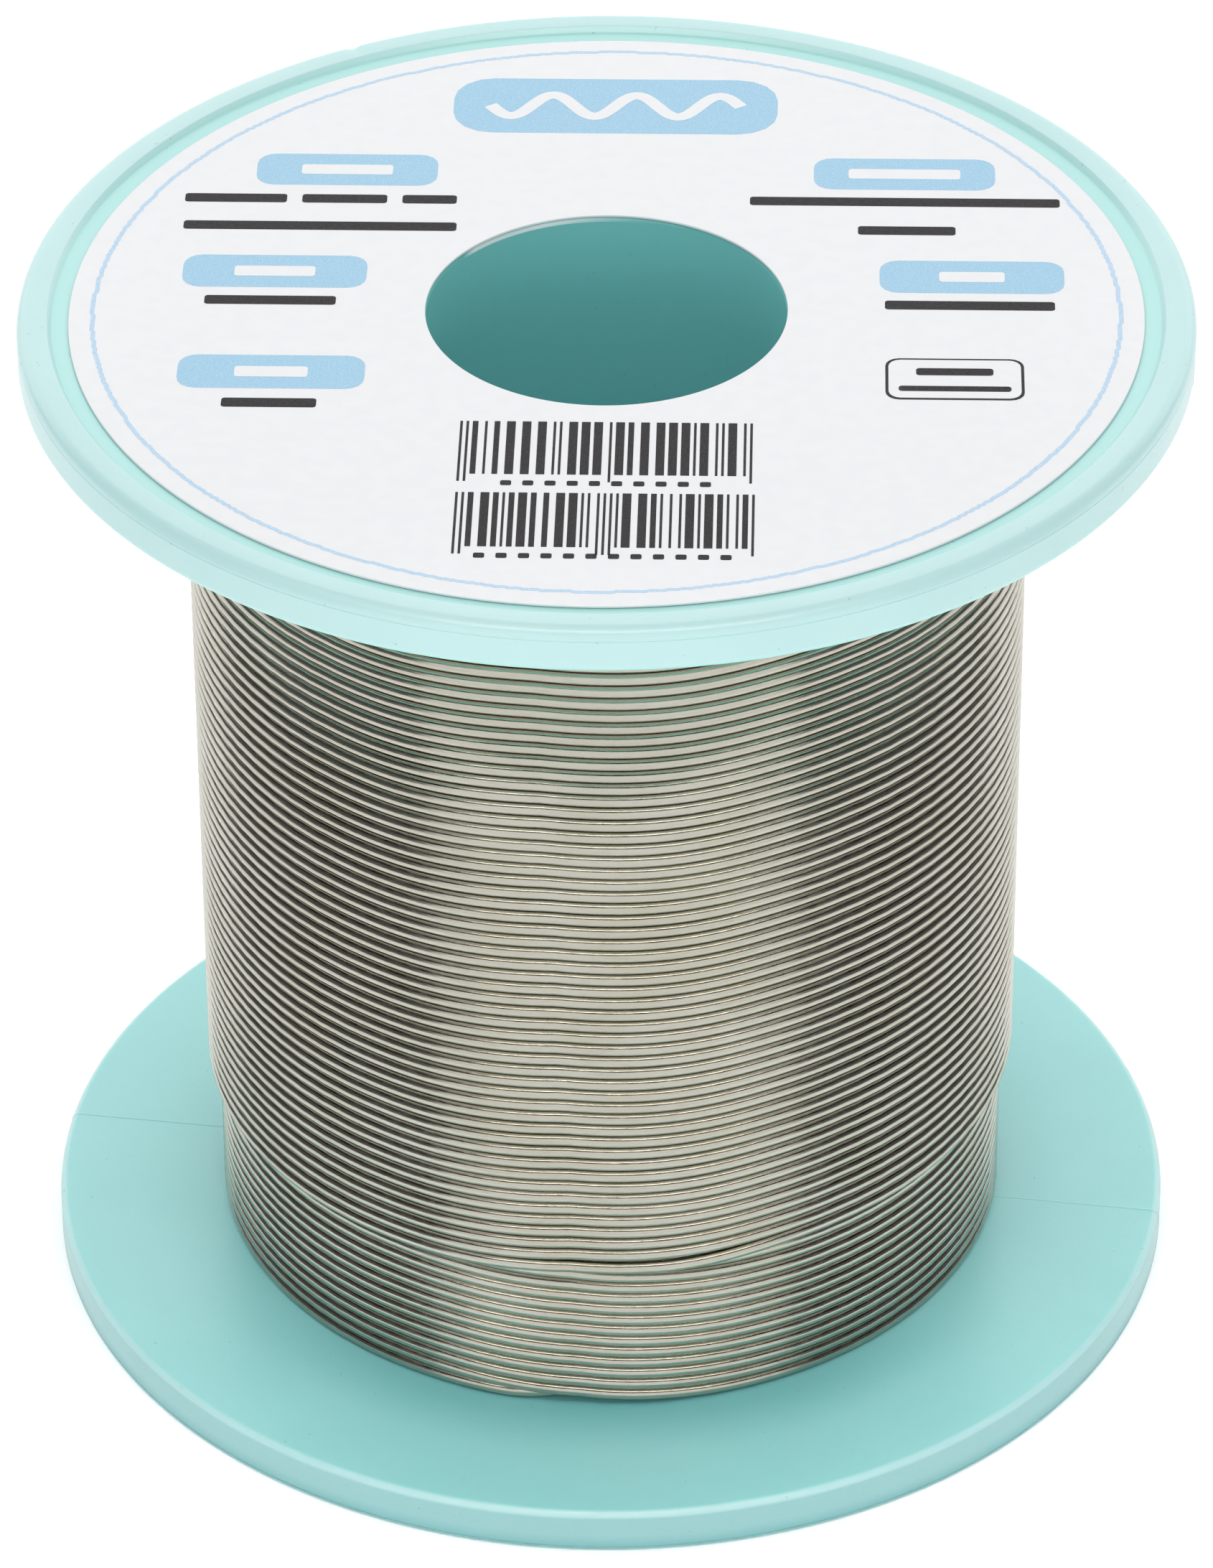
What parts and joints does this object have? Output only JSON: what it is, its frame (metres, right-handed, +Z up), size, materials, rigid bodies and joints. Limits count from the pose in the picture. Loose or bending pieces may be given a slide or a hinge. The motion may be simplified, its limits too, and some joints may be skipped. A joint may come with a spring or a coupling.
{
  "type": "solder wire spool",
  "caption": "Flanged plastic spool with a through bore, wound with fine solder wire in orderly layers, with a round printed label on its front flange.",
  "frame": {"origin": "on the spool's axis, in the plane that the rear flange's rim stands on", "axes": "+Z up along the spool's axis, from the rear flange to the labelled front flange; +X to the right when the label is read upright"},
  "size_m": [0.068, 0.068, 0.065],
  "materials": {
    "moulding": "satin mint polystyrene, faintly translucent",
    "label_stock": "satin white label film with blue and black print",
    "solder": "satin drawn tin-silver-copper solder",
    "flux": "amber flux resin"
  },
  "bodies": {
    "root": {"spool_body": "moulding", "front_label": "label_stock", "wire_layer_1": "solder", "wire_layer_2": "solder", "wire_layer_3": "solder", "wire_start_tail": "solder", "wire_free_end": "solder", "flux_core": "flux"}
  },
  "joints": []
}
